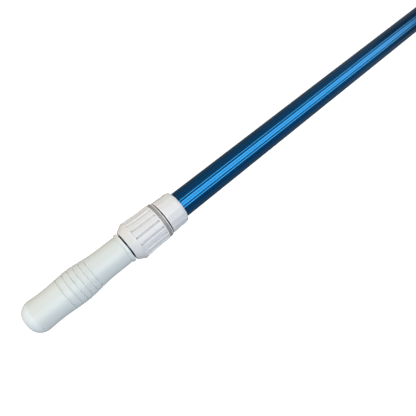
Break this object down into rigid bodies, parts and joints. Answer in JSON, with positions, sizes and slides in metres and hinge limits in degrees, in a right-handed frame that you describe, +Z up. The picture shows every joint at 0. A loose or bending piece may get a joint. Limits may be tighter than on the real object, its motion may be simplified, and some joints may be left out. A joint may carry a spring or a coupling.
{
  "type": "telescopic pool pole",
  "caption": "Two-section telescopic pool pole with a ringed hand grip, an external twist lock and a ribbed outer tube whose open end takes a brush, net or vacuum head.",
  "frame": {"origin": "on the pole's axis at the mouth of the tool socket", "axes": "+X along the pole, out of the tool socket; the hand grip is at the far -X end; +Z up with the pole lying down"},
  "size_m": [1.2192, 0.047, 0.047],
  "materials": {
    "blue_anodised": "bright blue anodised, fine lengthwise ribs",
    "navy_anodised": "dark blue anodised, smooth drawn",
    "grip_plastic": "moulded, satin light grey",
    "cap_plastic": "moulded, satin light grey",
    "lock_plastic": "moulded, satin white",
    "grey_rubber": "moulded, matt grey",
    "black_rubber": "moulded, matt black",
    "bearing_plastic": "smooth natural acetal",
    "plug_plastic": "moulded, black",
    "rivet_aluminium": "bright, clear"
  },
  "bodies": {
    "outer": {"outer_tube": "blue_anodised", "lock_collar": "lock_plastic", "neck_seal": "black_rubber", "collar_rivets": "rivet_aluminium"},
    "collet": {"collet": "bearing_plastic"},
    "nut": {"lock_nut": "lock_plastic", "buffer_ring": "grey_rubber", "wiper_ring": "black_rubber", "thrust_washer": "bearing_plastic"},
    "guide": {"guide_rings": "bearing_plastic"},
    "inner": {"inner_tube": "navy_anodised", "guide_plug": "plug_plastic", "plug_rivets": "rivet_aluminium", "grip": "grip_plastic", "grip_end_cap": "cap_plastic"}
  },
  "joints": [
    {"name": "collet_push", "type": "slide", "parent": "outer", "child": "collet", "axis": [1, 0, 0], "range_m": [0, 0.0015]},
    {"name": "lock_turn", "type": "hinge", "parent": "collet", "child": "nut", "pos_m": [-1.075, 0, 0], "axis": [1, 0, 0], "range_deg": [0, 180]},
    {"name": "extend", "type": "slide", "parent": "outer", "child": "guide", "axis": [-1, 0, 0], "range_m": [0, 0.886]},
    {"name": "inner_turn", "type": "hinge", "parent": "guide", "child": "inner", "pos_m": [-0.139, 0, 0], "axis": [1, 0, 0], "continuous": true}
  ],
  "couplings": [
    {"joint": "collet_push", "follows": "lock_turn", "m_per_rad": 0.00047746}
  ]
}
